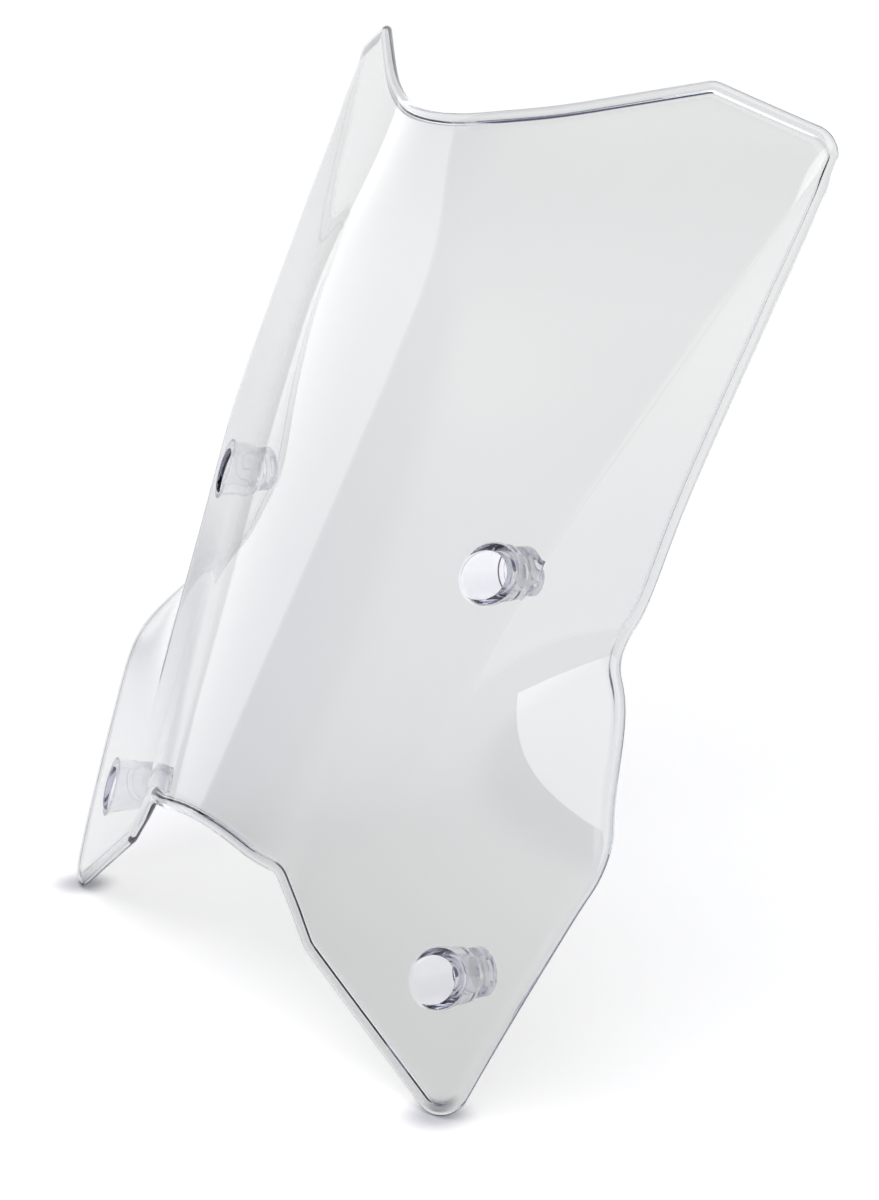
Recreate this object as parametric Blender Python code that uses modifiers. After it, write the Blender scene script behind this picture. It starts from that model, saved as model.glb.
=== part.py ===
"""Clear motorcycle windshield screen: a folded sheet with four blind mounting cups behind it.

Metres, +Z up, front towards -Y, rider behind at +Y, left and right along X. The screen stands at the
lean it has on the motorcycle. Heights and depths below are measured from the two lower tips. The origin
is the middle of the pattern of the four cups' end faces, so every object hangs under one empty that
carries that shift.
"""

import math

import bmesh
import bpy
import numpy as np
from mathutils import Matrix, Vector

# Sheet
SHEET = 0.0030
RIM = 0.0046
GAP = 0.0003
MERGE = 0.0001

# Centre line of the front face: its bottom end and its backward lean per metre of height.
BOTTOM_HEIGHT = 0.0842
BOTTOM_DEPTH = -0.0224
LEAN = 0.403

# The centre band is bowed between two soft folds, which close in towards the nose at the top edge.
FOLD_LOW = 0.0586
FOLD_TOP = 0.0205
FOLD_SOFT_LOW = 0.013
FOLD_SOFT_TOP = 0.027
FOLD_CLOSES = (0.285, 0.395)
BAND_RADIUS = 0.290

# Sweep of the faces outside the folds, as depth per metre of width.
SWEEP_LOW = 0.426
SWEEP_TOP = 0.515
SWEEP_RISES = (0.220, 0.320)

# A crisp crease runs up and out to the top corners, where it softens. The flank outside it folds sharply
# back, and this fold dies out downwards into the flat ears.
CREASE_HALF_WIDTH = 0.106
CREASE_HEIGHT = 0.126
CREASE_SLOPE = 0.280
CREASE_SOFT = 0.003
CREASE_SOFT_TOP = 0.005
CREASE_SOFTENS = (0.365, 0.395)
FLANK_SWEEP = 2.27
FLANK_GROWS = (0.085, 0.188)
FLANK_SETTLES = 0.25

# The lower edge of each ear turns back a little.
TUCK = 0.0055
TUCK_WIDTH = 0.042
TUCK_STARTS = (0.035, 0.070)

# Outline of the right half seen from the front: half width, height, corner radius.
BOTTOM_CORNERS = (
    (0.0000, 0.0846, 0.0),
    (0.0170, 0.0846, 0.160),
    (0.0550, 0.0775, 0.009),
    (0.0778, 0.0502, 0.018),
)
EAR_TIP = (0.1654, -0.0071, 0.013)
EDGE_CORNERS = (
    (0.1986, 0.1127, 0.028),
    (0.1468, 0.1801, 0.024),
    (0.1792, 0.3710, 0.060),
)
TOP_OUTER = (0.1815, 0.3947, 0.014)
TOP_CORNERS = (
    (0.1252, 0.4131, 0.010),
    (0.0640, 0.3982, 0.300),
    (0.0160, 0.3907, 0.180),
    (0.0000, 0.3907, 0.0),
)
EAR_EDGE_SLOPE = (EAR_TIP[1] - BOTTOM_CORNERS[-1][1]) / (EAR_TIP[0] - BOTTOM_CORNERS[-1][0])
EAR_EDGE_HEIGHT = EAR_TIP[1] - EAR_EDGE_SLOPE * EAR_TIP[0]
ARC_STEP = math.radians(10)
BEND_WEIGHT = 0.015

# Cups: mouth centres on the front face, depth from mouth to end, and the axis's droop to the rear.
CUP_DROOP = math.radians(5.0)
CUPS = {
    "upper": {"half_width": 0.1079, "height": 0.2121, "depth": 0.0245},
    "lower": {"half_width": 0.1413, "height": 0.0526, "depth": 0.0270},
}
BORE_RADIUS = 0.0101
BORE_FLOOR_RADIUS = 0.0087
TUBE_ROOT_RADIUS = 0.0135
TUBE_END_RADIUS = 0.0118
TUBE_REACH = 0.014
END_LENGTH = 0.0095
NECK_LENGTH = 0.0028
NECK_RADIUS = 0.0101
FLANGE_RADIUS = 0.0106
END_FLOOR = 0.0028
SCREW_HOLE_RADIUS = 0.0042
CHAMFER = 0.0005
ROUND_STEPS = 32
BORE_CUT_LENGTH = 0.060
CLEARANCE_REACH = 0.024
CLEARANCE_POINTS = 9
CLEARANCE_AHEAD = 0.022

# Grid of the half sheet. The rows at these shares of its height reach the ear's corner and the waist.
ROWS = 40
BAND_COLUMNS = 11
FLANK_COLUMNS = 8
CORNER_ROW = 0.21
WAIST_ROW = 0.39

# Where the grid's outer side starts and ends on the outline, and the foot and head of the column that
# follows the crease.
TIP_SPLIT = (0.1614, 0.0029)
TOP_SPLIT = (0.1800, 0.3790)
CREASE_FOOT = (0.0830, 0.0470)
CREASE_HEAD = (0.1750, 0.3960)

# How fast the bends of the bottom and top edges fade from the grid's rows, inside and outside the crease.
BAND_FADING = 1
FLANK_FADING = 6

CLEAR = (0.86, 0.87, 0.90, 1.0)


def ease(value, low, high):
    """Smooth step from 0 at low to 1 at high."""
    t = np.clip((value - low) / (high - low), 0.0, 1.0)
    return t * t * (3 - 2 * t)


def ramp(distance, softness):
    """Distance past a fold: 0 before it, the distance after it, rounded over the softness."""
    return (distance + np.sqrt(distance * distance + softness * softness)) / 2


def front_depth(x, z):
    """Depth of the sheet's front face at half width x and height z."""
    x = np.abs(x)
    nose = ease(z, *FOLD_CLOSES)
    fold = FOLD_LOW + (FOLD_TOP - FOLD_LOW) * nose
    soft = FOLD_SOFT_LOW + (FOLD_SOFT_TOP - FOLD_SOFT_LOW) * nose
    sweep = SWEEP_LOW + (SWEEP_TOP - SWEEP_LOW) * ease(z, *SWEEP_RISES)
    bow = (1 - nose) / BAND_RADIUS
    inner = np.minimum(x, fold)
    band = bow * inner * (2 * x - inner) / 2
    past_fold = ramp(x - fold, soft) + ramp(-x - fold, soft) - 2 * ramp(-fold, soft)
    softening = ease(z, *CREASE_SOFTENS)
    crease = CREASE_HALF_WIDTH + CREASE_SLOPE * (z - CREASE_HEIGHT)
    crease_soft = CREASE_SOFT + (CREASE_SOFT_TOP - CREASE_SOFT) * softening
    growth = np.maximum((z - FLANK_GROWS[0]) / (FLANK_GROWS[1] - FLANK_GROWS[0]), 0.0) ** 3
    share = growth - ramp(growth - 1, FLANK_SETTLES) + ramp(-1, FLANK_SETTLES)
    flank = (FLANK_SWEEP - sweep) * share * ramp(x - crease, crease_soft)
    above = (z - EAR_EDGE_HEIGHT - EAR_EDGE_SLOPE * x) / math.hypot(1, EAR_EDGE_SLOPE)
    tuck = TUCK * np.exp(-np.maximum(above, 0) / TUCK_WIDTH) * ease(x, *TUCK_STARTS)
    lean = BOTTOM_DEPTH + LEAN * (z - BOTTOM_HEIGHT)
    return lean + band + (sweep - fold * bow) * past_fold + flank + tuck


def rounded(corners):
    """Points along a chain of corners, each with its radius; the two ends stay as they are."""
    points = [Vector(corners[0][:2])]
    for before, here, after in zip(corners, corners[1:], corners[2:]):
        corner = Vector(here[:2])
        back = (Vector(before[:2]) - corner).normalized()
        ahead = (Vector(after[:2]) - corner).normalized()
        half = back.angle(ahead) / 2
        centre = corner + (back + ahead).normalized() * (here[2] / math.sin(half))
        start = corner + back * (here[2] / math.tan(half)) - centre
        end = corner + ahead * (here[2] / math.tan(half)) - centre
        turn = start.angle_signed(end)
        steps = max(2, math.ceil(abs(turn) / ARC_STEP))
        for i in range(steps + 1):
            angle = -turn * i / steps
            points.append(centre + Matrix.Rotation(angle, 2) @ start)
    points.append(Vector(corners[-1][:2]))
    return points


def lengths(points):
    """Distance along a chain from its first point. Bends count as extra length, so they get more points."""
    steps = np.array([(b - a).length for a, b in zip(points, points[1:])])
    for i, (a, b, c) in enumerate(zip(points, points[1:], points[2:])):
        bend = BEND_WEIGHT * (b - a).angle(c - b, 0.0) / 2
        steps[i] += bend
        steps[i + 1] += bend
    return np.concatenate([[0.0], np.cumsum(steps)])


def sampled(points, shares):
    """Points at these shares of a chain's weighted length."""
    along = lengths(points)
    at = np.asarray(shares) * along[-1]
    x = np.interp(at, along, [p.x for p in points])
    z = np.interp(at, along, [p.y for p in points])
    return np.stack([x, z], axis=-1)


def split(points, share):
    """A chain cut in two at a share of its weighted length."""
    along = lengths(points)
    cut = share * along[-1]
    middle = Vector(sampled(points, [share])[0])
    first = [p for p, d in zip(points, along) if d < cut - MERGE] + [middle]
    second = [middle] + [p for p, d in zip(points, along) if d > cut + MERGE]
    return first, second


def nearest_share(points, target):
    """Share of the chain's weighted length at which it comes closest to the target point."""
    shares = np.linspace(0, 1, 2001)
    return float(shares[np.argmin(np.linalg.norm(sampled(points, shares) - np.array(target), axis=1))])


def coons(bottom, top, left, right, fading):
    """Grid of points between four sides. Bottom and top run left to right, left and right run up.

    Rows are straight but for the bends of the bottom and the top, which fade away from them.
    """
    u = np.linspace(0, 1, len(bottom))[None, :, None]
    v = np.linspace(0, 1, len(left))[:, None, None]
    across = (1 - u) * left[:, None] + u * right[:, None]
    bottom_bend = bottom[None] - (1 - u) * bottom[0] - u * bottom[-1]
    top_bend = top[None] - (1 - u) * top[0] - u * top[-1]
    return across + (1 - v) ** fading * bottom_bend + v ** fading * top_bend


def half_sheet_grid():
    """Half widths and heights of the right half's grid, rows upward, columns outward."""
    lower = rounded(BOTTOM_CORNERS + (EAR_TIP, EDGE_CORNERS[0]))
    bottom, up_from_tip = split(lower, nearest_share(lower, TIP_SPLIT))
    outer = rounded((EAR_TIP,) + EDGE_CORNERS + (TOP_OUTER,) + TOP_CORNERS)
    start = nearest_share(outer, up_from_tip[-2])
    outer = up_from_tip[:-2] + split(outer, start)[1]
    edge, over_top = split(outer, nearest_share(outer, TOP_SPLIT))
    over_top.reverse()
    band_bottom, ear_bottom = split(bottom, nearest_share(bottom, CREASE_FOOT))
    band_top, flank_top = split(over_top, nearest_share(over_top, CREASE_HEAD))
    up = np.linspace(0, 1, ROWS + 1)
    centre = sampled([band_bottom[0], band_top[0]], up)
    crease = sampled([band_bottom[-1], band_top[-1]], up)
    across = np.linspace(0, 1, BAND_COLUMNS + 1)
    band = coons(sampled(band_bottom, across), sampled(band_top, across), centre, crease, BAND_FADING)
    out = np.linspace(0, 1, FLANK_COLUMNS + 1)
    stations = [0, nearest_share(edge, EDGE_CORNERS[0][:2]), nearest_share(edge, EDGE_CORNERS[1][:2]), 1]
    side = sampled(edge, np.interp(up, [0, CORNER_ROW, WAIST_ROW, 1], stations))
    flank = coons(sampled(ear_bottom, out), sampled(flank_top, out), crease, side, FLANK_FADING)
    return np.concatenate([band, flank[:, 1:]], axis=1)


def clear_plastic(name):
    """The moulding's material, one copy for each part."""
    material = bpy.data.materials.new(name)
    material.use_nodes = True
    shader = material.node_tree.nodes["Principled BSDF"]
    shader.inputs["Base Color"].default_value = CLEAR
    shader.inputs["Roughness"].default_value = 0.03
    shader.inputs["Metallic"].default_value = 0.0
    shader.inputs["Transmission Weight"].default_value = 1.0
    shader.inputs["IOR"].default_value = 1.58
    return material


def add_object(name, mesh, collection, parent):
    item = bpy.data.objects.new(name, mesh)
    collection.objects.link(item)
    item.parent = parent
    return item


def as_cutter(item):
    item.hide_render = True
    item.display_type = "WIRE"
    return item


def grid_mesh(name, x, z):
    """Mesh of a grid on the front face, its faces towards the front."""
    mesh = bpy.data.meshes.new(name)
    shape = bmesh.new()
    points = np.stack([x, front_depth(x, z), z], axis=-1)
    rows = [[shape.verts.new(p) for p in row] for row in points]
    for low, high in zip(rows, rows[1:]):
        for a, b, c, d in zip(low, low[1:], high[1:], high):
            shape.faces.new((a, b, c, d))
    bmesh.ops.recalc_face_normals(shape, faces=shape.faces)
    shape.faces.ensure_lookup_table()
    if shape.faces[0].normal.y > 0:
        bmesh.ops.reverse_faces(shape, faces=shape.faces)
    shape.to_mesh(mesh)
    shape.free()
    return mesh


def add_solidify(item, thickness, offset):
    solid = item.modifiers.new("thickness", "SOLIDIFY")
    solid.thickness = thickness
    solid.offset = offset
    solid.use_even_offset = True
    return solid


def add_boolean(item, cutter):
    cut = item.modifiers.new("cut_" + cutter.name, "BOOLEAN")
    cut.operation = "DIFFERENCE"
    cut.solver = "EXACT"
    cut.object = cutter
    return cut


def make_panel(collection, parent):
    """The folded sheet with its thicker rim. Its half is mirrored, then thickened to the rear."""
    grid = half_sheet_grid()
    grid[:, 0, 0] = 0.0
    mesh = grid_mesh("screen_panel", grid[..., 0], grid[..., 1])
    panel = add_object("screen_panel", mesh, collection, parent)
    columns = grid.shape[1]
    thickness = panel.vertex_groups.new(name="thickness")
    for vertex in mesh.vertices:
        row, column = divmod(vertex.index, columns)
        on_rim = row in (0, ROWS) or column == columns - 1
        thickness.add([vertex.index], 1.0 if on_rim else SHEET / RIM, "REPLACE")
    mirror = panel.modifiers.new("mirror", "MIRROR")
    mirror.use_axis = (True, False, False)
    mirror.merge_threshold = MERGE
    solid = add_solidify(panel, RIM, -1.0)
    solid.vertex_group = thickness.name
    mesh.materials.append(clear_plastic("panel_clear"))
    return panel


def cup_frame(cup, side):
    """Where a cup's mouth is and its turn: its own +Z leaves the mouth towards the front."""
    x = side * cup["half_width"]
    mouth = Vector((x, float(front_depth(x, cup["height"])), cup["height"]))
    return Matrix.Translation(mouth) @ Matrix.Rotation(math.pi / 2 - CUP_DROOP, 4, "X")


def turned(name, profile, collection, parent, frame):
    """A closed ring turned from a profile of radius and height, listed down the outer side first."""
    mesh = bpy.data.meshes.new(name)
    shape = bmesh.new()
    points = [shape.verts.new((radius, 0.0, height)) for radius, height in profile]
    for a, b in zip(points, points[1:] + points[:1]):
        shape.edges.new((a, b))
    shape.to_mesh(mesh)
    shape.free()
    item = add_object(name, mesh, collection, parent)
    item.matrix_local = frame
    screw = item.modifiers.new("turn", "SCREW")
    screw.steps = ROUND_STEPS
    screw.render_steps = ROUND_STEPS
    screw.use_merge_vertices = True
    screw.merge_threshold = MERGE / 10
    screw.use_smooth_shade = True
    return item


def make_tube(name, cup, collection, parent, frame, clearance):
    """The cup's tapered wall, from the back of the sheet to the end piece."""
    back = -(cup["depth"] - END_LENGTH - GAP)
    wall = np.interp(0.0, [back, TUBE_REACH], [TUBE_END_RADIUS, TUBE_ROOT_RADIUS])
    lean = (wall - TUBE_END_RADIUS) / -back
    profile = (
        (wall + lean * TUBE_REACH, TUBE_REACH),
        (TUBE_END_RADIUS, back + CHAMFER),
        (TUBE_END_RADIUS - CHAMFER, back),
        (BORE_FLOOR_RADIUS, back),
        (BORE_RADIUS, 0.0),
        (BORE_RADIUS, TUBE_REACH),
    )
    tube = turned(name, profile, collection, parent, frame)
    tube.data.materials.append(clear_plastic(name + "_clear"))
    add_boolean(tube, clearance)
    return tube


def make_end(name, cup, collection, parent, frame):
    """The cup's end piece: neck, flange and floor with the screw hole."""
    end = -cup["depth"]
    front = end + END_LENGTH
    profile = (
        (NECK_RADIUS, front),
        (NECK_RADIUS, front - NECK_LENGTH),
        (FLANGE_RADIUS, front - NECK_LENGTH),
        (FLANGE_RADIUS, end + CHAMFER),
        (FLANGE_RADIUS - CHAMFER, end),
        (SCREW_HOLE_RADIUS, end),
        (SCREW_HOLE_RADIUS, end + END_FLOOR),
        (BORE_FLOOR_RADIUS, end + END_FLOOR),
        (BORE_FLOOR_RADIUS, front),
    )
    piece = turned(name, profile, collection, parent, frame)
    piece.data.materials.append(clear_plastic(name + "_clear"))
    return piece


def make_bore_cutter(name, collection, parent, frame):
    """A round bar along the cup's axis that opens the sheet at the mouth."""
    mesh = bpy.data.meshes.new(name)
    shape = bmesh.new()
    bmesh.ops.create_cone(
        shape,
        cap_ends=True,
        segments=ROUND_STEPS,
        radius1=BORE_RADIUS,
        radius2=BORE_RADIUS,
        depth=BORE_CUT_LENGTH,
    )
    shape.to_mesh(mesh)
    shape.free()
    cutter = add_object(name, mesh, collection, parent)
    cutter.matrix_local = frame
    return as_cutter(cutter)


def make_clearance(name, cup, side, collection, parent):
    """What the tube keeps clear of: the sheet round the mouth, its gap, and the space in front."""
    reach = np.linspace(-CLEARANCE_REACH, CLEARANCE_REACH, CLEARANCE_POINTS)
    x, z = np.meshgrid(side * cup["half_width"] + reach, cup["height"] + reach)
    cutter = add_object(name, grid_mesh(name, x, z), collection, parent)
    behind = SHEET + GAP
    whole = behind + CLEARANCE_AHEAD
    add_solidify(cutter, whole, 1 - 2 * behind / whole)
    return as_cutter(cutter)


def new_collection(name):
    collection = bpy.data.collections.new(name)
    bpy.context.scene.collection.children.link(collection)
    return collection


def main():
    for item in list(bpy.data.objects):
        bpy.data.objects.remove(item)
    parts = new_collection("windshield_screen")
    cutters = new_collection("cutters")
    datum = bpy.data.objects.new("datum", None)
    parts.objects.link(datum)
    ends = [cup_frame(cup, 1) @ Vector((0, 0, -cup["depth"])) for cup in CUPS.values()]
    middle = sum(ends, Vector()) / len(ends)
    datum.location = (0.0, -middle.y, -middle.z)
    panel = make_panel(parts, datum)
    for level, cup in CUPS.items():
        for hand, side in (("left", -1), ("right", 1)):
            place = level + "_" + hand
            frame = cup_frame(cup, side)
            add_boolean(panel, make_bore_cutter("bore_" + place, cutters, datum, frame))
            clearance = make_clearance("clearance_" + place, cup, side, cutters, datum)
            make_tube("cup_tube_" + place, cup, parts, datum, frame, clearance)
            make_end("cup_end_" + place, cup, parts, datum, frame)


main()
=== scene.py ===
"""Clear motorcycle windshield screen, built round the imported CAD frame.

Metres, +Z up, front towards -Y. Heights and depths of the shape below are measured from the two lower
tips, as in the CAD, and make_moulding shifts them so that its cups sit where the CAD cups are.
"""

import math

import bmesh
import bpy
import numpy as np
from mathutils import Matrix, Vector


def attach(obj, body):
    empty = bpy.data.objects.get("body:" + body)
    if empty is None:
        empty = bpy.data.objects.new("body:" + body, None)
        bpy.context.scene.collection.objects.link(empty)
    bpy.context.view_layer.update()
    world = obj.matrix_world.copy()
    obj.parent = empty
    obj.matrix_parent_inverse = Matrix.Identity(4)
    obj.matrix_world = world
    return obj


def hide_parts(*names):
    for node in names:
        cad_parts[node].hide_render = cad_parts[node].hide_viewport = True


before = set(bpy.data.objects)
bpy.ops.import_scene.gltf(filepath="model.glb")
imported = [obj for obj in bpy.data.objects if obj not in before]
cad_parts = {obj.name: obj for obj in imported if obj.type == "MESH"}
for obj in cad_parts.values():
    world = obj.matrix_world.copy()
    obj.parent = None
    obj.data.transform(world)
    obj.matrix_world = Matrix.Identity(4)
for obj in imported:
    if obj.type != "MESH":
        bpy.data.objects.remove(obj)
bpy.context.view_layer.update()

# ---------------------------------------------------------------------------- shape of the sheet
SHEET = 0.0030
RIM = 0.0046
BOTTOM_HEIGHT = 0.0842
BOTTOM_DEPTH = -0.0224
LEAN = 0.403
FOLD_LOW = 0.0586
FOLD_TOP = 0.0205
FOLD_SOFT_LOW = 0.013
FOLD_SOFT_TOP = 0.027
FOLD_CLOSES = (0.285, 0.395)
BAND_RADIUS = 0.290
SWEEP_LOW = 0.426
SWEEP_TOP = 0.515
SWEEP_RISES = (0.220, 0.320)
CREASE_HALF_WIDTH = 0.106
CREASE_HEIGHT = 0.126
CREASE_SLOPE = 0.280
CREASE_SOFT = 0.0012
CREASE_SOFT_TOP = 0.005
CREASE_SOFTENS = (0.365, 0.395)
FLANK_SWEEP = 2.27
FLANK_GROWS = (0.085, 0.188)
FLANK_SETTLES = 0.25
TUCK = 0.0055
TUCK_WIDTH = 0.042
TUCK_STARTS = (0.035, 0.070)
BOTTOM_CORNERS = (
    (0.0000, 0.0846, 0.0),
    (0.0170, 0.0846, 0.160),
    (0.0550, 0.0775, 0.009),
    (0.0778, 0.0502, 0.018),
)
EAR_TIP = (0.1654, -0.0071, 0.013)
EDGE_CORNERS = (
    (0.1986, 0.1127, 0.028),
    (0.1468, 0.1801, 0.024),
    (0.1792, 0.3710, 0.060),
)
TOP_OUTER = (0.1815, 0.3947, 0.014)
TOP_CORNERS = (
    (0.1252, 0.4131, 0.010),
    (0.0640, 0.3982, 0.300),
    (0.0160, 0.3907, 0.180),
    (0.0000, 0.3907, 0.0),
)
EAR_EDGE_SLOPE = (EAR_TIP[1] - BOTTOM_CORNERS[-1][1]) / (EAR_TIP[0] - BOTTOM_CORNERS[-1][0])
EAR_EDGE_HEIGHT = EAR_TIP[1] - EAR_EDGE_SLOPE * EAR_TIP[0]

# Cups, as in the CAD
CUP_DROOP = math.radians(5.0)
CUPS = {
    "upper": {"half_width": 0.1079, "height": 0.2121, "depth": 0.0245},
    "lower": {"half_width": 0.1413, "height": 0.0526, "depth": 0.0270},
}
BORE_RADIUS = 0.0101
BORE_FLOOR_RADIUS = 0.0087
TUBE_ROOT_RADIUS = 0.0135
TUBE_END_RADIUS = 0.0118
TUBE_REACH = 0.014
END_LENGTH = 0.0095
NECK_LENGTH = 0.0028
NECK_RADIUS = 0.0101
FLANGE_RADIUS = 0.0106
END_FLOOR = 0.0028
SCREW_HOLE_RADIUS = 0.0042
CUP_ACROSS = np.array([1.0, 0.0, 0.0])
CUP_REAR = np.array([0.0, math.cos(CUP_DROOP), -math.sin(CUP_DROOP)])
CUP_UP = np.array([0.0, math.sin(CUP_DROOP), math.cos(CUP_DROOP)])

# ---------------------------------------------------------------------------- fineness of the mesh
ROWS = 150
BAND_COLUMNS = 60
FLANK_COLUMNS = 40
RIM_WIDTH = 0.0062
BLOCK = 0.0165
TIP_SPLIT = (0.1614, 0.0029)
TOP_SPLIT = (0.1800, 0.3790)
CREASE_FOOT = (0.0830, 0.0470)
CREASE_HEAD = (0.1760, 0.3935)
CORNER_ROW = 0.21
WAIST_ROW = 0.39
BAND_FADING = 1
FLANK_FADING = 6
GRADING = 0.45
ARC_STEP = math.radians(3)
BEND_WEIGHT = 0.012
TANGENT_STEP = 0.0012
SLOPE_STEP = 0.0001
INSET_STEP = 0.0004
INSET_BLEND = 0.25
NEAREST_STEPS = 20000
RIM_ROUND = 12
RIM_STEP_START = 0.0031
RIM_STEP_POINTS = 6
MOUTH_ROUND = 0.0006
ROOT_ROUND = 0.0012
ROUND_POINTS = 5
FIELD_RINGS = 5
FIELD_GRADING = 1.4
WALL_RINGS = 7
WALL_LEAD = 0.0020
WALL_LEAD_RADIUS = 0.0120
CUP_ARC_STEP = math.radians(30)
RING_PASSES = 30


def ease(value, low, high):
    """Smooth step from 0 at low to 1 at high."""
    t = np.clip((value - low) / (high - low), 0.0, 1.0)
    return t * t * (3 - 2 * t)


def ramp(distance, softness):
    """Distance past a fold: 0 before it, the distance after it, rounded over the softness."""
    return (distance + np.sqrt(distance * distance + softness * softness)) / 2


def front_depth(x, z):
    """Depth of the sheet's front face at half width x and height z."""
    x = np.abs(x)
    nose = ease(z, *FOLD_CLOSES)
    fold = FOLD_LOW + (FOLD_TOP - FOLD_LOW) * nose
    soft = FOLD_SOFT_LOW + (FOLD_SOFT_TOP - FOLD_SOFT_LOW) * nose
    sweep = SWEEP_LOW + (SWEEP_TOP - SWEEP_LOW) * ease(z, *SWEEP_RISES)
    bow = (1 - nose) / BAND_RADIUS
    inner = np.minimum(x, fold)
    band = bow * inner * (2 * x - inner) / 2
    past_fold = ramp(x - fold, soft) + ramp(-x - fold, soft) - 2 * ramp(-fold, soft)
    softening = ease(z, *CREASE_SOFTENS)
    crease = CREASE_HALF_WIDTH + CREASE_SLOPE * (z - CREASE_HEIGHT)
    crease_soft = CREASE_SOFT + (CREASE_SOFT_TOP - CREASE_SOFT) * softening
    growth = np.maximum((z - FLANK_GROWS[0]) / (FLANK_GROWS[1] - FLANK_GROWS[0]), 0.0) ** 3
    share = growth - ramp(growth - 1, FLANK_SETTLES) + ramp(-1, FLANK_SETTLES)
    flank = (FLANK_SWEEP - sweep) * share * ramp(x - crease, crease_soft)
    above = (z - EAR_EDGE_HEIGHT - EAR_EDGE_SLOPE * x) / math.hypot(1, EAR_EDGE_SLOPE)
    tuck = TUCK * np.exp(-np.maximum(above, 0) / TUCK_WIDTH) * ease(x, *TUCK_STARTS)
    lean = BOTTOM_DEPTH + LEAN * (z - BOTTOM_HEIGHT)
    return lean + band + (sweep - fold * bow) * past_fold + flank + tuck


def front_normal(x, z):
    """Unit normals of the front face, towards the front."""
    h = SLOPE_STEP
    across = (front_depth(x + h, z) - front_depth(x - h, z)) / (2 * h)
    upward = (front_depth(x, z + h) - front_depth(x, z - h)) / (2 * h)
    normal = np.stack([across, -np.ones_like(across), upward], axis=-1)
    return normal / np.linalg.norm(normal, axis=-1, keepdims=True)


def on_sheet(x, z, behind):
    """Points at a distance behind the front face, measured along its normal."""
    x, z = np.asarray(x, float), np.asarray(z, float)
    face = np.stack([x, front_depth(x, z), z], axis=-1)
    return face - front_normal(x, z) * np.broadcast_to(behind, x.shape)[..., None]


# ---------------------------------------------------------------------------- outline and grid
def rounded(corners, arc_step=ARC_STEP):
    """Points along a chain of corners, each with its radius; the two ends stay as they are."""
    points = [np.array(corners[0][:2])]
    for before, here, after in zip(corners, corners[1:], corners[2:]):
        corner = np.array(here[:2])
        back, ahead = np.array(before[:2]) - corner, np.array(after[:2]) - corner
        back, ahead = back / np.linalg.norm(back), ahead / np.linalg.norm(ahead)
        half = math.acos(np.clip(back @ ahead, -1, 1)) / 2
        middle = (back + ahead) / np.linalg.norm(back + ahead)
        centre = corner + middle * (here[2] / math.sin(half))
        start = corner + back * (here[2] / math.tan(half)) - centre
        end = corner + ahead * (here[2] / math.tan(half)) - centre
        first = math.atan2(start[1], start[0])
        turn = (math.atan2(end[1], end[0]) - first + math.pi) % (2 * math.pi) - math.pi
        steps = max(3, math.ceil(abs(turn) / arc_step))
        for angle in first + turn * np.linspace(0, 1, steps + 1):
            points.append(centre + here[2] * np.array([math.cos(angle), math.sin(angle)]))
    points.append(np.array(corners[-1][:2]))
    return np.array(points)


def lengths(points):
    """Distance along a chain from its first point. Bends count as extra length, so they get more points."""
    legs = np.diff(points, axis=0)
    steps = np.linalg.norm(legs, axis=1)
    heading = np.unwrap(np.arctan2(legs[:, 1], legs[:, 0]))
    bends = BEND_WEIGHT * np.abs(np.diff(heading)) / 2
    steps[:-1] += bends
    steps[1:] += bends
    return np.concatenate([[0.0], np.cumsum(steps)])


def along(points, at):
    """Points at these weighted distances along a chain."""
    marks = lengths(points)
    return np.stack([np.interp(at, marks, points[:, i]) for i in (0, 1)], axis=-1)


def nearest(points, target):
    """Weighted distance at which the chain comes closest to the target point."""
    at = np.linspace(0, lengths(points)[-1], NEAREST_STEPS + 1)
    return at[np.argmin(np.linalg.norm(along(points, at) - np.array(target), axis=1))]


def graded(count, grading):
    """Shares from 0 to 1 in count steps, which shrink along the way by the grading."""
    t = np.linspace(0, 1, count + 1)
    return t * (1 + grading) - grading * t * t


def outline_points():
    """The outline's chain and the distances along it of every grid line's end, from bottom to top centre."""
    chain = rounded(BOTTOM_CORNERS + (EAR_TIP,) + EDGE_CORNERS + (TOP_OUTER,) + TOP_CORNERS)
    foot, tip, top, head = (nearest(chain, p) for p in (CREASE_FOOT, TIP_SPLIT, TOP_SPLIT, CREASE_HEAD))
    end = lengths(chain)[-1]
    band, flank = graded(BAND_COLUMNS, GRADING), graded(FLANK_COLUMNS, -GRADING)
    stations = [tip, nearest(chain, EDGE_CORNERS[0][:2]), nearest(chain, EDGE_CORNERS[1][:2]), top]
    side = np.interp(np.linspace(0, 1, ROWS + 1), [0, CORNER_ROW, WAIST_ROW, 1], stations)
    at = np.concatenate([
        foot * band,
        (foot + (tip - foot) * flank)[1:],
        side[1:],
        (head + (top - head) * flank)[::-1][1:],
        (end + (head - end) * band)[::-1][1:],
    ])
    return chain, at


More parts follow.
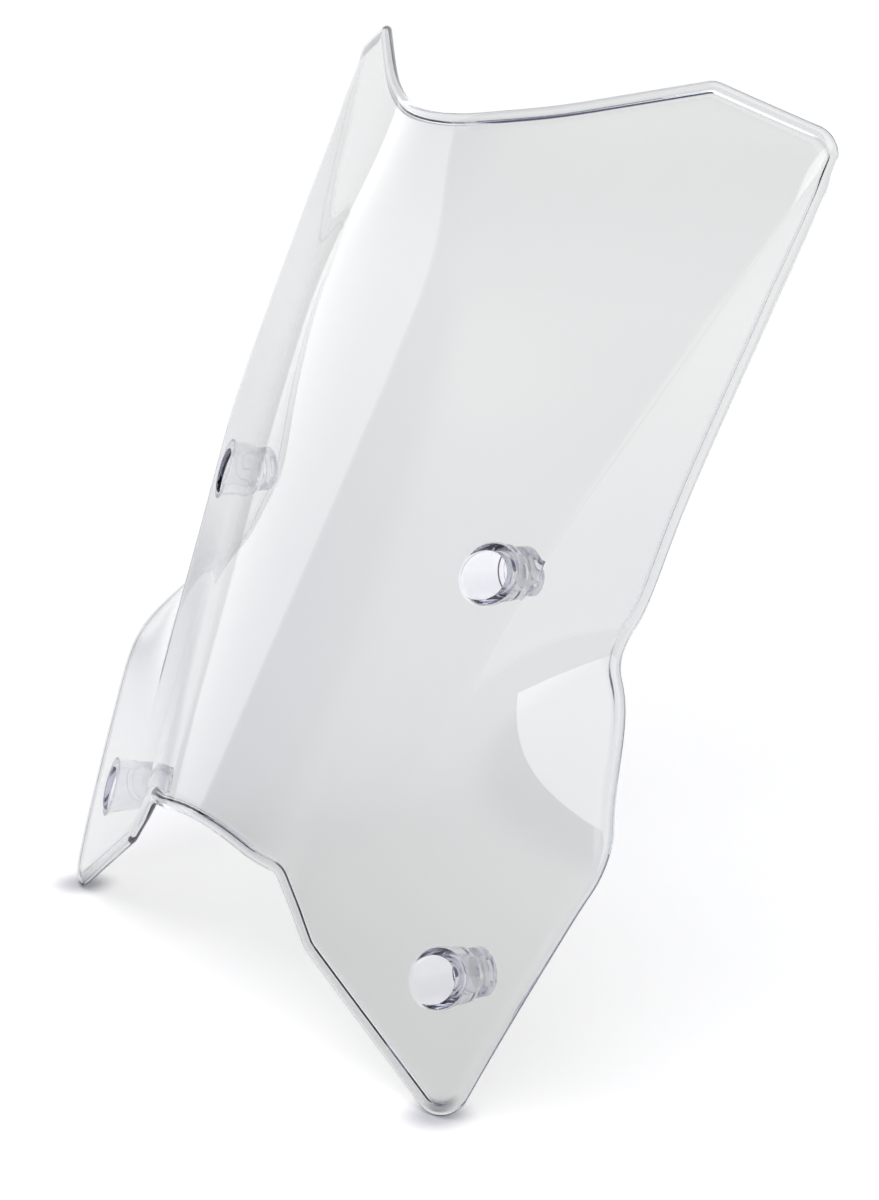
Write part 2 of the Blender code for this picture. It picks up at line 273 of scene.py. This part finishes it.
def inset_rings(chain, at, distances):
    """The outline's points moved inwards on the sheet by each true distance, one ring for each distance."""
    points = along(chain, at)
    heading = along(chain, at + TANGENT_STEP) - along(chain, at - TANGENT_STEP)
    heading /= np.linalg.norm(heading, axis=1, keepdims=True)
    heading[[0, -1]] = np.sign(heading[[0, -1], :1]) * [1, 0]
    ahead = points + heading * SLOPE_STEP
    tangent = on_sheet(ahead[:, 0], ahead[:, 1], 0.0) - on_sheet(points[:, 0], points[:, 1], 0.0)
    inward = np.cross(front_normal(points[:, 0], points[:, 1]), tangent)
    steps = math.ceil(max(distances) / INSET_STEP)
    path = [points]
    for _ in range(steps):
        x, z = path[-1].T
        normal = front_normal(x, z)
        inward[1:-1] += INSET_BLEND * (inward[:-2] + inward[2:] - 2 * inward[1:-1])
        inward = inward - (inward * normal).sum(axis=1)[:, None] * normal
        inward /= np.linalg.norm(inward, axis=1, keepdims=True)
        path.append(path[-1] + inward[:, [0, 2]] * max(distances) / steps)
    path = np.array(path)
    path[:, [0, -1], 0] = 0.0
    at_step = np.array(distances) / max(distances) * steps
    low = np.minimum(at_step.astype(int), steps - 1)
    share = (at_step - low)[:, None, None]
    return path[low] * (1 - share) + path[low + 1] * share


def coons(bottom, top, left, right, u, fading):
    """Grid between four sides. Rows are straight but for the bends of the bottom and the top, which fade."""
    u = u[None, :, None]
    v = np.linspace(0, 1, len(left))[:, None, None]
    across = (1 - u) * left[:, None] + u * right[:, None]
    bottom_bend = bottom[None] - (1 - u) * bottom[0] - u * bottom[-1]
    top_bend = top[None] - (1 - u) * top[0] - u * top[-1]
    return across + (1 - v) ** fading * bottom_bend + v ** fading * top_bend


def sheet_grid(border):
    """Half widths and heights of the grid inside the rim, rows upward and columns outward."""
    a = BAND_COLUMNS
    b = a + FLANK_COLUMNS
    c = b + ROWS
    d = c + FLANK_COLUMNS
    up = np.linspace(0, 1, ROWS + 1)[:, None]
    centre = border[0] * (1 - up) + border[-1] * up
    crease = border[a] * (1 - up) + border[d] * up
    band_share, flank_share = graded(BAND_COLUMNS, GRADING), graded(FLANK_COLUMNS, -GRADING)
    band = coons(border[: a + 1], border[d:][::-1], centre, crease, band_share, BAND_FADING)
    tip, top, side = border[a : b + 1], border[c : d + 1][::-1], border[b : c + 1]
    flank = coons(tip, top, crease, side, flank_share, FLANK_FADING)
    return np.concatenate([band, flank[:, 1:]], axis=1)


# ---------------------------------------------------------------------------- the moulding's mesh
class Skin:
    """Points and four-sided faces gathered into one surface."""

    def __init__(self):
        self.points = []
        self.faces = []

    def add(self, points):
        """Adds points, and returns their numbers in the same arrangement."""
        first = len(self.points)
        self.points.extend(points.reshape(-1, 3))
        return np.arange(first, len(self.points)).reshape(points.shape[:-1])

    def cells(self, numbers, keep=None):
        """Adds the faces between neighbouring rows of point numbers, or only those that keep marks."""
        a, b, c, d = numbers[:-1, :-1], numbers[:-1, 1:], numbers[1:, 1:], numbers[1:, :-1]
        quads = np.stack([a, b, c, d], axis=-1)
        self.faces.extend(quads.reshape(-1, 4) if keep is None else quads[keep])


def rim_profile():
    """Distances from the edge and depths behind the front face, round the edge from front to back."""
    turn = np.linspace(0, math.pi, RIM_ROUND + 1)
    nose = np.stack([1 - np.sin(turn), 1 - np.cos(turn)], axis=-1) * RIM / 2
    step = np.linspace(0, 1, RIM_STEP_POINTS + 1)[:-1]
    inwards = RIM_STEP_START + (RIM_WIDTH - RIM_STEP_START) * step
    down = np.stack([inwards, RIM - (RIM - SHEET) * ease(step, 0, 1)], axis=-1)
    lead = [((RIM_WIDTH + RIM / 2) / 2, 0.0)]
    return np.concatenate([lead, nose, down])


def ring_on_sheet(cup, radius, turn, behind):
    """Points at a radius about the cup's axis that lie a distance behind the sheet's front face."""
    x = cup["half_width"] + radius * np.cos(turn)
    z = cup["height"] + radius * np.sin(turn)
    for _ in range(RING_PASSES):
        point = on_sheet(x, z, behind) - cup["mouth"]
        x = x + radius * np.cos(turn) - point @ CUP_ACROSS
        z = z + radius * np.sin(turn) - point @ CUP_UP
    return on_sheet(x, z, behind), np.stack([x, z], axis=-1)


def cup_outline(cup):
    """Radii and distances to the rear along the cup, from the bore, round the end, to the outer wall."""
    end = cup["depth"]
    neck = end - END_LENGTH
    corners = (
        (BORE_FLOOR_RADIUS, neck, 0.0),
        (BORE_FLOOR_RADIUS, end - END_FLOOR, 0.0010),
        (SCREW_HOLE_RADIUS, end - END_FLOOR, 0.0003),
        (SCREW_HOLE_RADIUS, end, 0.0003),
        (FLANGE_RADIUS, end, 0.0006),
        (FLANGE_RADIUS, neck + NECK_LENGTH, 0.0002),
        (NECK_RADIUS, neck + NECK_LENGTH, 0.0002),
        (NECK_RADIUS, neck, 0.0003),
        (TUBE_END_RADIUS, neck, 0.0005),
        (WALL_LEAD_RADIUS, neck - WALL_LEAD, 0.0),
    )
    return rounded(corners, CUP_ARC_STEP)


def tube_radius(cup, rear):
    """Radius of the tube's outer wall at a distance to the rear of the mouth."""
    end = cup["depth"] - END_LENGTH
    return np.interp(rear, [-TUBE_REACH, end], [TUBE_ROOT_RADIUS, TUBE_END_RADIUS])


def add_cup(skin, cup, front, back, grid):
    """Opens the sheet round a cup and adds its bore, end and wall. Returns the grid cells it takes."""
    centre = np.array([cup["half_width"], cup["height"]])
    cup["mouth"] = on_sheet(*centre, 0.0)
    off = np.abs(grid - centre).max(axis=-1)
    row, column = np.unravel_index(np.argmin(off), off.shape)
    near_row = np.abs(grid[row, :, 0] - centre[0])
    near_column = np.abs(grid[:, column, 1] - centre[1])
    left = np.nonzero(near_row[:column] > BLOCK)[0].max()
    right = column + np.nonzero(near_row[column:] > BLOCK)[0].min()
    low = np.nonzero(near_column[:row] > BLOCK)[0].max()
    high = row + np.nonzero(near_column[row:] > BLOCK)[0].min()

    def border(numbers):
        inside = numbers[low : high + 1, left : right + 1]
        return np.concatenate([inside[0, :-1], inside[:-1, -1], inside[-1, :0:-1], inside[:0:-1, 0]])

    edge = border(grid)
    face = on_sheet(edge[:, 0], edge[:, 1], 0.0) - cup["mouth"]
    turn = np.arctan2(face @ CUP_UP, face @ CUP_ACROSS)
    rings = []

    def field(radius, behind, outward):
        _, foot = ring_on_sheet(cup, radius, turn, behind)
        shares = np.linspace(0, 1, FIELD_RINGS + 1)[1:-1]
        spread = [edge + (foot - edge) * (1 - (1 - s) ** FIELD_GRADING) for s in shares]
        made = [on_sheet(p[:, 0], p[:, 1], behind) for p in spread]
        rings.extend(skin.add(p) for p in (made if outward else made[::-1]))

    bend = np.linspace(0, math.pi / 2, ROUND_POINTS + 1)
    rings.append(border(front))
    field(BORE_RADIUS + MOUTH_ROUND, 0.0, True)
    for angle in bend:
        radius = BORE_RADIUS + MOUTH_ROUND * (1 - math.sin(angle))
        lip = ring_on_sheet(cup, radius, turn, MOUTH_ROUND * (1 - math.cos(angle)))[0]
        rings.append(skin.add(lip))
    outline = cup_outline(cup)
    circle = np.cos(turn)[:, None] * CUP_ACROSS + np.sin(turn)[:, None] * CUP_UP
    floor = [cup["mouth"] + r * circle + s * CUP_REAR for r, s in outline]
    for share in np.linspace(0, 1, WALL_RINGS + 1)[1:-1]:
        rings.append(skin.add(lip + (floor[0] - lip) * share))
    rings.extend(skin.add(p) for p in floor)
    root = float(tube_radius(cup, SHEET))
    fillet = []
    for angle in bend:
        radius = root + ROOT_ROUND * (1 - math.sin(angle))
        fillet.append(ring_on_sheet(cup, radius, turn, SHEET + ROOT_ROUND * (1 - math.cos(angle)))[0])
    for share in np.linspace(0, 1, WALL_RINGS + 1)[1:-1]:
        rings.append(skin.add(floor[-1] + (fillet[-1] - floor[-1]) * share))
    rings.extend(skin.add(p) for p in fillet[::-1])
    field(root + ROOT_ROUND, SHEET, False)
    rings.append(border(back))
    closed = np.array([np.append(r, r[0]) for r in rings])
    skin.cells(closed)
    return slice(low, high), slice(left, right)


def cup_ends():
    """Middles of the end faces of one side's two cups, in the frame of the lower tips."""
    return [on_sheet(c["half_width"], c["height"], 0.0) + c["depth"] * CUP_REAR for c in CUPS.values()]


def origin():
    """The CAD frame's origin, in the frame of the lower tips: the middle of the four cup ends."""
    return np.mean(cup_ends(), axis=0) * [0, 1, 1]


def turn_outwards(mesh):
    shape = bmesh.new()
    shape.from_mesh(mesh)
    bmesh.ops.recalc_face_normals(shape, faces=shape.faces)
    shape.to_mesh(mesh)
    shape.free()


def make_moulding():
    """The whole moulding as one closed surface: sheet, rounded rim and four cups."""
    skin = Skin()
    chain, at = outline_points()
    profile = rim_profile()
    rims = inset_rings(chain, at, np.append(profile[:, 0], RIM_WIDTH))
    grid = sheet_grid(rims[-1])
    front = skin.add(on_sheet(grid[..., 0], grid[..., 1], 0.0))
    back = skin.add(on_sheet(grid[..., 0], grid[..., 1], SHEET))

    def rim_of(numbers):
        return np.concatenate([numbers[0], numbers[1:, -1], numbers[-1, -2::-1]])

    rings = [rim_of(front)]
    for ring, behind in zip(rims, profile[:, 1]):
        rings.append(skin.add(on_sheet(ring[:, 0], ring[:, 1], behind)))
    rings.append(rim_of(back))
    skin.cells(np.array(rings))
    keep = np.ones((front.shape[0] - 1, front.shape[1] - 1), bool)
    for cup in CUPS.values():
        keep[add_cup(skin, dict(cup), front, back, grid)] = False
    skin.cells(front, keep)
    skin.cells(back, keep)

    points = np.array(skin.points)
    faces = np.array(skin.faces)
    middle = np.abs(points[:, 0]) < SLOPE_STEP / 10
    points[middle, 0] = 0.0
    other = np.where(middle, np.arange(len(points)), np.arange(len(points)) + len(points))
    both = np.concatenate([points, points * [-1, 1, 1]])
    faces = np.concatenate([faces, other[faces][:, ::-1]])
    used, faces = np.unique(faces, return_inverse=True)
    mesh = bpy.data.meshes.new("screen_moulding")
    mesh.from_pydata((both[used] - origin()).tolist(), [], faces.reshape(-1, 4).tolist())
    turn_outwards(mesh)
    mesh.shade_smooth()
    moulding = bpy.data.objects.new("screen_moulding", mesh)
    bpy.context.scene.collection.objects.link(moulding)
    return moulding


# ---------------------------------------------------------------------------- stage, light and material
CAD_NODES = ("screen_panel",) + tuple(
    f"cup_{part}_{level}_{hand}"
    for part in ("tube", "end")
    for level in ("upper", "lower")
    for hand in ("left", "right")
)

CAMERA_AT = (1.16633, -0.73187, 0.45002)
CAMERA_AZIMUTH = math.radians(56.2044)
CAMERA_ELEVATION = math.radians(16.4195)
CAMERA_LENS = 96.0
CAMERA_SENSOR = 36.0
CAMERA_REACH = 100.0

# Softboxes: a corner, the two corners next to it, and the radiance
SOFTBOXES = {
    "side_softbox": ((-1.651, -1.063, -0.115), (-0.993, -1.550, 1.375), (-2.006, 0.268, 0.477), 0.95),
    "top_softbox": ((1.648, -1.295, 0.779), (-0.548, -1.223, 1.686), (1.989, -0.027, 1.504), 1.9),
}

# World: spreads are cosines from the view's level heading, and the height is a sine
BACKDROP_COLOUR = (1.0, 1.0, 1.0, 1.0)
ROOM_COLOUR = (0.11, 0.11, 0.20, 1.0)
ROOM_TO_BACKDROP = (0.30, 0.85)
WALL_COLOUR = (0.80, 0.80, 0.80, 1.0)
WALL_SPREAD = (-0.46, -0.10)
WALL_HEIGHT = (0.41, 0.62)

# Floor: distances are from its middle, the reach of the painted contact shadows is from a tip, and the sweep
# ends towards SWEEP_SIDE
FLOOR_SIZE = 24.0
FLOOR_ROUGHNESS = 0.9
FLOOR_COLOUR = (0.80, 0.80, 0.80, 1.0)
# Painted light: the floor glows, and glows more further from its middle.
FLOOR_GLOW_COLOUR = (1.0, 1.0, 0.94, 1.0)
FLOOR_GLOWS = (0.49, 0.75)
GLOW_REACH = (0.3, 2.0)
SWEEP_SIDE = (-0.444, -0.896, 0.0)
SWEEP_FADE = (0.18, 0.50)
# Painted shade: beside the sweep and near the middle, the floor turns this darker colour and glows less.
SHADED_FLOOR_COLOUR = (0.70, 0.70, 0.70, 1.0)
SHADED_FLOOR_REACH = (1.1, 2.2)
SHADED_FLOOR_SHARE = 0.7
# Painted contact shadows: the floor's glow fades out within this reach of each tip.
CONTACT_SHADOW_REACH = (0.001, 0.022)

# Polycarbonate
REFRACTION = 1.58
HAZE_SCALE = 9.0
HAZE_DETAIL = 3.0
ROUGHNESS = (0.0, 0.010)
SHEET_TINTS = ((0.785, 0.797, 0.777, 1.0), (0.805, 0.817, 0.797, 1.0))
# Painted light: the cup walls get this lighter, violet tint in place of the sheet's, to lift the shade they
# show.
CUP_WALL_LIGHTENING_TINT = (0.94, 0.94, 0.965, 1.0)
CUP_EDGE = (0.0146, 0.0154)
WALL_SLANT = (0.55, 0.75)
RIPPLE_SCALE = 14.0
RIPPLE_DETAIL = 1.0
RIPPLE_STRENGTH = 0.25
RIPPLE_HEIGHT = 0.0002
ABSORPTION_COLOUR = (0.70, 0.705, 0.78, 1.0)
ABSORPTION_DENSITY = 60.0


def towards(azimuth, elevation):
    """Direction at an azimuth from the front, growing to the right wing's side, and an elevation."""
    flat = math.cos(elevation)
    return Vector((math.sin(azimuth) * flat, -math.cos(azimuth) * flat, math.sin(elevation)))


def add_camera():
    data = bpy.data.cameras.new("camera")
    data.lens = CAMERA_LENS
    data.sensor_width = CAMERA_SENSOR
    data.clip_end = CAMERA_REACH
    camera = bpy.data.objects.new("camera", data)
    camera.location = CAMERA_AT
    back = towards(CAMERA_AZIMUTH, CAMERA_ELEVATION)
    camera.rotation_euler = (-back).to_track_quat("-Z", "Y").to_euler()
    bpy.context.scene.collection.objects.link(camera)
    bpy.context.scene.camera = camera


def add_softbox(name, corner, first, second, radiance):
    """A rectangular light that shows this radiance in reflections."""
    corner, first, second = Vector(corner), Vector(first), Vector(second)
    data = bpy.data.lights.new(name, "AREA")
    data.shape = "RECTANGLE"
    data.size, data.size_y = (first - corner).length, (second - corner).length
    data.energy = radiance * math.pi * data.size * data.size_y
    light = bpy.data.objects.new(name, data)
    across = (first - corner).normalized()
    back = across.cross(second - corner).normalized()
    if back.dot(corner) < 0:
        back = -back
    upward = back.cross(across)
    light.matrix_world = Matrix((across, upward, back)).transposed().to_4x4()
    light.location = (first + second) / 2
    bpy.context.scene.collection.objects.link(light)


def fade_node(nodes, reach, ends=(0.0, 1.0), kind="SMOOTHSTEP"):
    """Map range that goes smoothly from the first end to the second while its value crosses the reach."""
    fade = nodes.new("ShaderNodeMapRange")
    fade.interpolation_type = kind
    fade.inputs["From Min"].default_value = reach[0]
    fade.inputs["From Max"].default_value = reach[1]
    fade.inputs["To Min"].default_value = ends[0]
    fade.inputs["To Max"].default_value = ends[1]
    return fade


def math_node(nodes, operation):
    node = nodes.new("ShaderNodeMath")
    node.operation = operation
    return node


def vector_node(nodes, operation, second=(0.0, 0.0, 0.0)):
    """Vector maths with this second value."""
    node = nodes.new("ShaderNodeVectorMath")
    node.operation = operation
    node.inputs[1].default_value = second
    return node


def colour_mix(nodes, **colours):
    """Mix of the colours A and B."""
    mix = nodes.new("ShaderNodeMix")
    mix.data_type = "RGBA"
    for name, colour in colours.items():
        mix.inputs[name].default_value = colour
    return mix


def make_world():
    """Pale backdrop behind the screen, pale wall low behind the camera, and dim violet room between them."""
    world = bpy.data.worlds.new("studio")
    world.use_nodes = True
    nodes, links = world.node_tree.nodes, world.node_tree.links
    nodes.clear()
    where = nodes.new("ShaderNodeTexCoord")
    facing = vector_node(nodes, "DOT_PRODUCT", -towards(CAMERA_AZIMUTH, 0.0))
    upward = nodes.new("ShaderNodeSeparateXYZ")
    backdrop_share = fade_node(nodes, ROOM_TO_BACKDROP)
    behind = fade_node(nodes, WALL_SPREAD, (1.0, 0.0))
    low = fade_node(nodes, WALL_HEIGHT, (1.0, 0.0))
    wall_share = math_node(nodes, "MULTIPLY")
    room = colour_mix(nodes, A=ROOM_COLOUR, B=WALL_COLOUR)
    studio = colour_mix(nodes, B=BACKDROP_COLOUR)
    light = nodes.new("ShaderNodeBackground")
    output = nodes.new("ShaderNodeOutputWorld")
    links.new(where.outputs["Generated"], facing.inputs[0])
    links.new(where.outputs["Generated"], upward.inputs[0])
    links.new(facing.outputs["Value"], backdrop_share.inputs["Value"])
    links.new(facing.outputs["Value"], behind.inputs["Value"])
    links.new(upward.outputs["Z"], low.inputs["Value"])
    links.new(behind.outputs["Result"], wall_share.inputs[0])
    links.new(low.outputs["Result"], wall_share.inputs[1])
    links.new(wall_share.outputs["Value"], room.inputs["Factor"])
    links.new(room.outputs["Result"], studio.inputs["A"])
    links.new(backdrop_share.outputs["Result"], studio.inputs["Factor"])
    links.new(studio.outputs["Result"], light.inputs["Color"])
    links.new(light.outputs["Background"], output.inputs["Surface"])
    bpy.context.scene.world = world


def add_contact_shadow_share(nodes, links, place, tip):
    """Socket that is 0 where the two lower tips touch the floor, and 1 away from them: it takes the floor's
    glow away there, a painted contact shadow.
    """
    both = math_node(nodes, "MULTIPLY")
    for side, socket in zip((-1, 1), both.inputs):
        distance = vector_node(nodes, "DISTANCE", (side * abs(tip.x), tip.y, 0.0))
        share = fade_node(nodes, CONTACT_SHADOW_REACH, kind="SMOOTHERSTEP")
        links.new(place.outputs["Object"], distance.inputs[0])
        links.new(distance.outputs["Value"], share.inputs["Value"])
        links.new(share.outputs["Result"], socket)
    return both.outputs["Value"]


def make_floor_white(tip):
    """Matt white with painted light and shade: it glows a little on the sweep and more further from its
    middle, glows less and takes a darker colour beside the sweep (painted shade), and glows not at all under
    the two tips (painted contact shadows).
    """
    material = bpy.data.materials.new("floor_white")
    material.use_nodes = True
    nodes, links = material.node_tree.nodes, material.node_tree.links
    shader = nodes["Principled BSDF"]
    shader.inputs["Roughness"].default_value = FLOOR_ROUGHNESS
    shader.inputs["Specular IOR Level"].default_value = 0.0
    shader.inputs["Emission Color"].default_value = FLOOR_GLOW_COLOUR
    place = nodes.new("ShaderNodeTexCoord")
    away = vector_node(nodes, "LENGTH")
    glow = fade_node(nodes, GLOW_REACH, FLOOR_GLOWS)
    beyond = vector_node(nodes, "DOT_PRODUCT", SWEEP_SIDE)
    beside = fade_node(nodes, SWEEP_FADE)
    near = fade_node(nodes, SHADED_FLOOR_REACH, (SHADED_FLOOR_SHARE, 0.0))
    dim = math_node(nodes, "MULTIPLY")
    sweep = math_node(nodes, "SUBTRACT")
    sweep.inputs[0].default_value = 1.0
    strength = math_node(nodes, "MULTIPLY")
    lifted = math_node(nodes, "MULTIPLY")
    colour = colour_mix(nodes, A=SHADED_FLOOR_COLOUR, B=FLOOR_COLOUR)
    links.new(place.outputs["Object"], away.inputs[0])
    links.new(away.outputs["Value"], glow.inputs["Value"])
    links.new(away.outputs["Value"], near.inputs["Value"])
    links.new(place.outputs["Object"], beyond.inputs[0])
    links.new(beyond.outputs["Value"], beside.inputs["Value"])
    links.new(beside.outputs["Result"], dim.inputs[0])
    links.new(near.outputs["Result"], dim.inputs[1])
    links.new(dim.outputs["Value"], sweep.inputs[1])
    links.new(sweep.outputs["Value"], strength.inputs[0])
    links.new(glow.outputs["Result"], strength.inputs[1])
    links.new(strength.outputs["Value"], lifted.inputs[0])
    # Painted contact shadows: no glow under the tips.
    links.new(add_contact_shadow_share(nodes, links, place, tip), lifted.inputs[1])
    links.new(lifted.outputs["Value"], shader.inputs["Emission Strength"])
    links.new(sweep.outputs["Value"], colour.inputs["Factor"])
    links.new(colour.outputs["Result"], shader.inputs["Base Color"])
    return material


def make_floor(tip):
    """White sweep under the screen's lower tips, and beside it a darker floor that is painted shade."""
    mesh = bpy.data.meshes.new("floor")
    half = FLOOR_SIZE / 2
    corners = [(-half, -half, 0), (half, -half, 0), (half, half, 0), (-half, half, 0)]
    mesh.from_pydata(corners, [], [(0, 1, 2, 3)])
    mesh.materials.append(make_floor_white(tip))
    floor = bpy.data.objects.new("floor", mesh)
    floor.location.z = tip.z
    bpy.context.scene.collection.objects.link(floor)


def add_near_axis_share(nodes, links, place):
    """Socket that is 1 near the cups' axes and 0 away from them."""
    split = nodes.new("ShaderNodeSeparateXYZ")
    folded = math_node(nodes, "ABSOLUTE")
    join = nodes.new("ShaderNodeCombineXYZ")
    links.new(place.outputs["Object"], split.inputs["Vector"])
    links.new(split.outputs["X"], folded.inputs[0])
    links.new(folded.outputs["Value"], join.inputs["X"])
    links.new(split.outputs["Y"], join.inputs["Y"])
    links.new(split.outputs["Z"], join.inputs["Z"])
    both = math_node(nodes, "MAXIMUM")
    for end, socket in zip(cup_ends(), both.inputs):
        away = vector_node(nodes, "SUBTRACT", end - origin())
        across = vector_node(nodes, "CROSS_PRODUCT", CUP_REAR)
        distance = vector_node(nodes, "LENGTH")
        share = fade_node(nodes, CUP_EDGE, (1.0, 0.0))
        links.new(join.outputs["Vector"], away.inputs[0])
        links.new(away.outputs["Vector"], across.inputs[0])
        links.new(across.outputs["Vector"], distance.inputs[0])
        links.new(distance.outputs["Value"], share.inputs["Value"])
        links.new(share.outputs["Result"], socket)
    return both.outputs["Value"]


def add_cup_share(nodes, links, place):
    """Socket that is 1 on the walls of the cups and 0 on the sheet and on the cups' ends: where the painted
    lighter tint goes.
    """
    surface = nodes.new("ShaderNodeNewGeometry")
    along_axis = vector_node(nodes, "DOT_PRODUCT", CUP_REAR)
    size = math_node(nodes, "ABSOLUTE")
    wall = fade_node(nodes, WALL_SLANT, (1.0, 0.0))
    cup_wall = math_node(nodes, "MULTIPLY")
    links.new(surface.outputs["Normal"], along_axis.inputs[0])
    links.new(along_axis.outputs["Value"], size.inputs[0])
    links.new(size.outputs["Value"], wall.inputs["Value"])
    links.new(add_near_axis_share(nodes, links, place), cup_wall.inputs[0])
    links.new(wall.outputs["Result"], cup_wall.inputs[1])
    return cup_wall.outputs["Value"]


def noise_node(nodes, scale, detail):
    noise = nodes.new("ShaderNodeTexNoise")
    noise.inputs["Scale"].default_value = scale
    noise.inputs["Detail"].default_value = detail
    return noise


def make_polycarbonate():
    """Lightly smoked clear polycarbonate: a faint ripple and haze, cup walls given a lighter, violet tint as
    painted light, and a tint in its depth.
    """
    material = bpy.data.materials.new("clear_polycarbonate")
    material.use_nodes = True
    nodes, links = material.node_tree.nodes, material.node_tree.links
    shader = nodes["Principled BSDF"]
    shader.inputs["Transmission Weight"].default_value = 1.0
    shader.inputs["IOR"].default_value = REFRACTION
    place = nodes.new("ShaderNodeTexCoord")
    haze = noise_node(nodes, HAZE_SCALE, HAZE_DETAIL)
    roughness = nodes.new("ShaderNodeMapRange")
    roughness.inputs["To Min"].default_value = ROUGHNESS[0]
    roughness.inputs["To Max"].default_value = ROUGHNESS[1]
    smoke = colour_mix(nodes, A=SHEET_TINTS[0], B=SHEET_TINTS[1])
    # Painted light on the cup walls: the lighter tint is mixed in there.
    cup_wall_lightening = colour_mix(nodes, B=CUP_WALL_LIGHTENING_TINT)
    ripple = noise_node(nodes, RIPPLE_SCALE, RIPPLE_DETAIL)
    bump = nodes.new("ShaderNodeBump")
    bump.inputs["Strength"].default_value = RIPPLE_STRENGTH
    bump.inputs["Distance"].default_value = RIPPLE_HEIGHT
    depth = nodes.new("ShaderNodeVolumeAbsorption")
    depth.inputs["Color"].default_value = ABSORPTION_COLOUR
    depth.inputs["Density"].default_value = ABSORPTION_DENSITY
    for noise in (haze, ripple):
        links.new(place.outputs["Object"], noise.inputs["Vector"])
    links.new(haze.outputs["Fac"], roughness.inputs["Value"])
    links.new(roughness.outputs["Result"], shader.inputs["Roughness"])
    links.new(haze.outputs["Fac"], smoke.inputs["Factor"])
    links.new(smoke.outputs["Result"], cup_wall_lightening.inputs["A"])
    links.new(add_cup_share(nodes, links, place), cup_wall_lightening.inputs["Factor"])
    links.new(cup_wall_lightening.outputs["Result"], shader.inputs["Base Color"])
    links.new(ripple.outputs["Fac"], bump.inputs["Height"])
    links.new(bump.outputs["Normal"], shader.inputs["Normal"])
    links.new(depth.outputs["Volume"], nodes["Material Output"].inputs["Volume"])
    return material


def set_rendering():
    """Plain colours, and enough bounces for light to pass the clear walls."""
    scene = bpy.context.scene
    scene.view_settings.view_transform = "Standard"
    scene.view_settings.look = "None"
    scene.cycles.max_bounces = 24
    scene.cycles.transmission_bounces = 24
    scene.cycles.glossy_bounces = 12
    scene.cycles.diffuse_bounces = 3
    scene.cycles.transparent_max_bounces = 16
    scene.cycles.sample_clamp_indirect = 4.0


add_camera()
moulding = make_moulding()
moulding.data.materials.append(make_polycarbonate())
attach(moulding, "root")
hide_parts(*CAD_NODES)
make_floor(min((v.co for v in moulding.data.vertices), key=lambda co: co.z))
make_world()
for name, softbox in SOFTBOXES.items():
    add_softbox(name, *softbox)
set_rendering()
